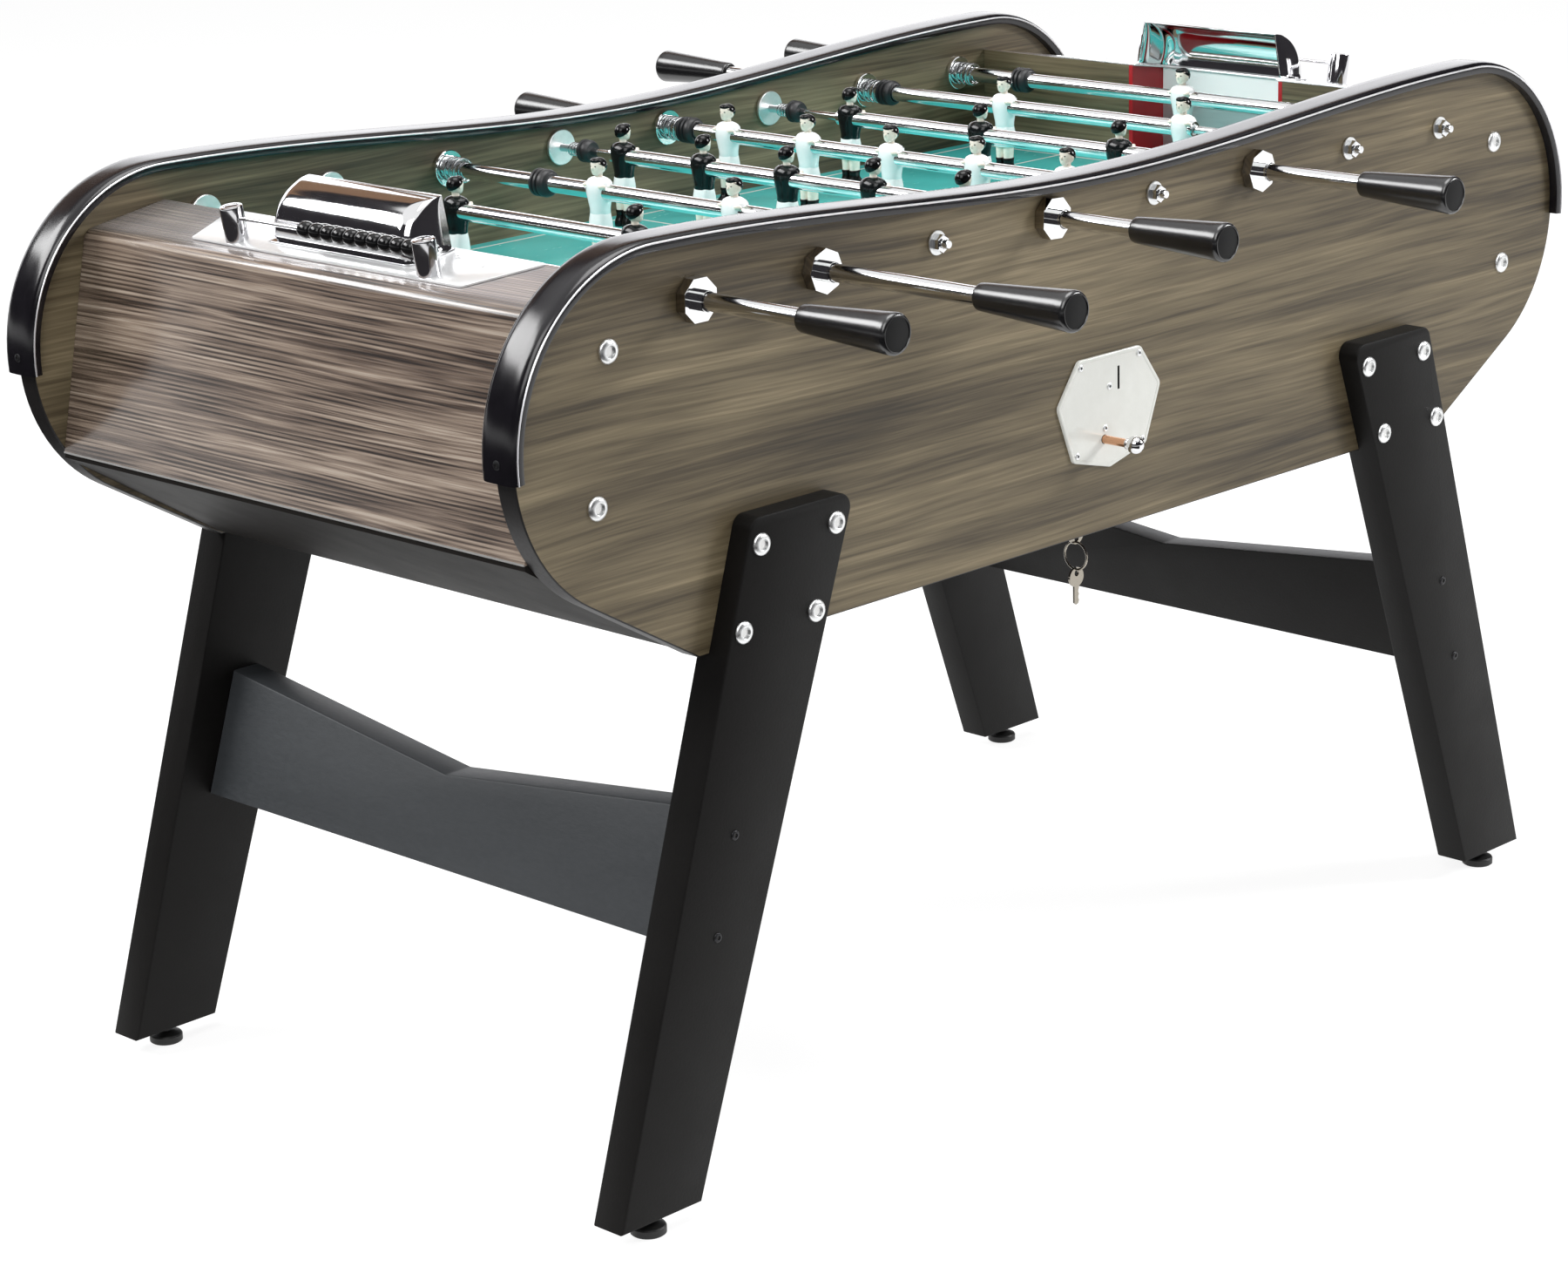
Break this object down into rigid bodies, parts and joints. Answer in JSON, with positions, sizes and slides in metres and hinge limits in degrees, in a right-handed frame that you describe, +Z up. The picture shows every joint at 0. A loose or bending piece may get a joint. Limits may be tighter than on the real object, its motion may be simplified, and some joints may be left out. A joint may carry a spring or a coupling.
{
  "type": "coin-operated table football",
  "caption": "Coin-operated table football: wooden cabinet with humped sides on splayed legs, telescopic rods of men over a green pitch, hooded goals with score beads.",
  "frame": {"origin": "on the floor under the middle of the table", "axes": "+X along the pitch towards the far player's goal, +Y towards the far player, +Z up"},
  "size_m": [1.4728, 1.239, 0.8705],
  "materials": {
    "chrome": "bright chrome plate",
    "handle_black": "satin black",
    "walnut": "grey-brown walnut laminate",
    "trim_black": "satin black moulding",
    "brown_laminate": "brown ribbed laminate, glossy on the rounded edge",
    "goal_red": "red lining",
    "polished_steel": "polished",
    "bead_black": "glossy black",
    "field_green": "sea-green laminate with white lines",
    "black_wood": "matt black",
    "grey_wood": "dark grey",
    "enamel": "off-white enamel",
    "mech_alloy": "dull cast alloy",
    "zinc": "bright zinc plate"
  },
  "bodies": {
    "cabinet": {"bearing_far_attack": "chrome", "bearing_far_defence": "chrome", "bearing_far_keeper": "chrome", "bearing_far_midfield": "chrome", "bearing_near_attack": "chrome", "bearing_near_defence": "chrome", "bearing_near_keeper": "chrome", "bearing_near_midfield": "chrome", "bottom_panel": "black_wood", "coin_mech": "mech_alloy", "coin_plate": "enamel", "edge_trim_far": "trim_black", "edge_trim_near": "trim_black", "end_cabinet_left": "brown_laminate", "end_cabinet_right": "brown_laminate", "end_wall_left": "walnut", "end_wall_right": "walnut", "goal_box_left": "goal_red", "goal_box_right": "goal_red", "goal_hood_left": "polished_steel", "goal_hood_right": "polished_steel", "goal_plate_left": "polished_steel", "goal_plate_right": "polished_steel", "leg_far_left": "black_wood", "leg_far_right": "black_wood", "leg_near_left": "black_wood", "leg_near_right": "black_wood", "playfield": "field_green", "side_panel_far": "walnut", "side_panel_near": "walnut", "stretcher_left": "grey_wood", "stretcher_right": "grey_wood"},
    "shaft_near_keeper": {"shaft_near_keeper": "chrome"},
    "rod_near_keeper": {"tube_near_keeper": "chrome", "handle_near_keeper": "handle_black"},
    "shaft_near_defence": {"shaft_near_defence": "chrome"},
    "rod_near_defence": {"tube_near_defence": "chrome", "handle_near_defence": "handle_black"},
    "shaft_far_attack": {"shaft_far_attack": "chrome"},
    "rod_far_attack": {"tube_far_attack": "chrome", "handle_far_attack": "handle_black"},
    "shaft_near_midfield": {"shaft_near_midfield": "chrome"},
    "rod_near_midfield": {"tube_near_midfield": "chrome", "handle_near_midfield": "handle_black"},
    "shaft_far_midfield": {"shaft_far_midfield": "chrome"},
    "rod_far_midfield": {"tube_far_midfield": "chrome", "handle_far_midfield": "handle_black"},
    "shaft_near_attack": {"shaft_near_attack": "chrome"},
    "rod_near_attack": {"tube_near_attack": "chrome", "handle_near_attack": "handle_black"},
    "shaft_far_defence": {"shaft_far_defence": "chrome"},
    "rod_far_defence": {"tube_far_defence": "chrome", "handle_far_defence": "handle_black"},
    "shaft_far_keeper": {"shaft_far_keeper": "chrome"},
    "rod_far_keeper": {"tube_far_keeper": "chrome", "handle_far_keeper": "handle_black"},
    "counter_left": {"counter_beads_left": "bead_black"},
    "counter_right": {"counter_beads_right": "bead_black"},
    "plunger": {"coin_plunger": "chrome"},
    "lock": {"cash_lock": "zinc"}
  },
  "joints": [
    {"name": "spin_near_keeper", "type": "hinge", "parent": "cabinet", "child": "shaft_near_keeper", "pos_m": [-0.525, 0, 0.803], "axis": [0, 1, 0], "continuous": true},
    {"name": "push_near_keeper", "type": "slide", "parent": "shaft_near_keeper", "child": "rod_near_keeper", "axis": [0, 1, 0], "range_m": [-0.061, 0.0594]},
    {"name": "spin_near_defence", "type": "hinge", "parent": "cabinet", "child": "shaft_near_defence", "pos_m": [-0.375, 0, 0.803], "axis": [0, 1, 0], "continuous": true},
    {"name": "push_near_defence", "type": "slide", "parent": "shaft_near_defence", "child": "rod_near_defence", "axis": [0, 1, 0], "range_m": [-0.1387, 0.119]},
    {"name": "spin_far_attack", "type": "hinge", "parent": "cabinet", "child": "shaft_far_attack", "pos_m": [-0.225, 0, 0.803], "axis": [0, -1, 0], "continuous": true},
    {"name": "push_far_attack", "type": "slide", "parent": "shaft_far_attack", "child": "rod_far_attack", "axis": [0, -1, 0], "range_m": [-0.104, 0]},
    {"name": "spin_near_midfield", "type": "hinge", "parent": "cabinet", "child": "shaft_near_midfield", "pos_m": [-0.075, 0, 0.803], "axis": [0, 1, 0], "continuous": true},
    {"name": "push_near_midfield", "type": "slide", "parent": "shaft_near_midfield", "child": "rod_near_midfield", "axis": [0, 1, 0], "range_m": [-0.0177, 0.029]},
    {"name": "spin_far_midfield", "type": "hinge", "parent": "cabinet", "child": "shaft_far_midfield", "pos_m": [0.075, 0, 0.803], "axis": [0, -1, 0], "continuous": true},
    {"name": "push_far_midfield", "type": "slide", "parent": "shaft_far_midfield", "child": "rod_far_midfield", "axis": [0, -1, 0], "range_m": [-0.0287, 0.018]},
    {"name": "spin_near_attack", "type": "hinge", "parent": "cabinet", "child": "shaft_near_attack", "pos_m": [0.225, 0, 0.803], "axis": [0, 1, 0], "continuous": true},
    {"name": "push_near_attack", "type": "slide", "parent": "shaft_near_attack", "child": "rod_near_attack", "axis": [0, 1, 0], "range_m": [-0.0817, 0.055]},
    {"name": "spin_far_defence", "type": "hinge", "parent": "cabinet", "child": "shaft_far_defence", "pos_m": [0.375, 0, 0.803], "axis": [0, -1, 0], "continuous": true},
    {"name": "push_far_defence", "type": "slide", "parent": "shaft_far_defence", "child": "rod_far_defence", "axis": [0, -1, 0], "range_m": [-0.1387, 0.119]},
    {"name": "spin_far_keeper", "type": "hinge", "parent": "cabinet", "child": "shaft_far_keeper", "pos_m": [0.525, 0, 0.803], "axis": [0, -1, 0], "continuous": true},
    {"name": "push_far_keeper", "type": "slide", "parent": "shaft_far_keeper", "child": "rod_far_keeper", "axis": [0, -1, 0], "range_m": [-0.061, 0.0594]},
    {"name": "score_left", "type": "slide", "parent": "cabinet", "child": "counter_left", "axis": [0, 1, 0], "range_m": [0, 0.082]},
    {"name": "score_right", "type": "slide", "parent": "cabinet", "child": "counter_right", "axis": [0, -1, 0], "range_m": [0, 0.082]},
    {"name": "plunger_push", "type": "slide", "parent": "cabinet", "child": "plunger", "axis": [0, 1, 0], "range_m": [0, 0.024], "stiffness_N_per_m": 300},
    {"name": "lock_turn", "type": "hinge", "parent": "cabinet", "child": "lock", "pos_m": [0.024, -0.28, 0.45], "axis": [0, 0, 1], "range_deg": [0, 90]}
  ]
}
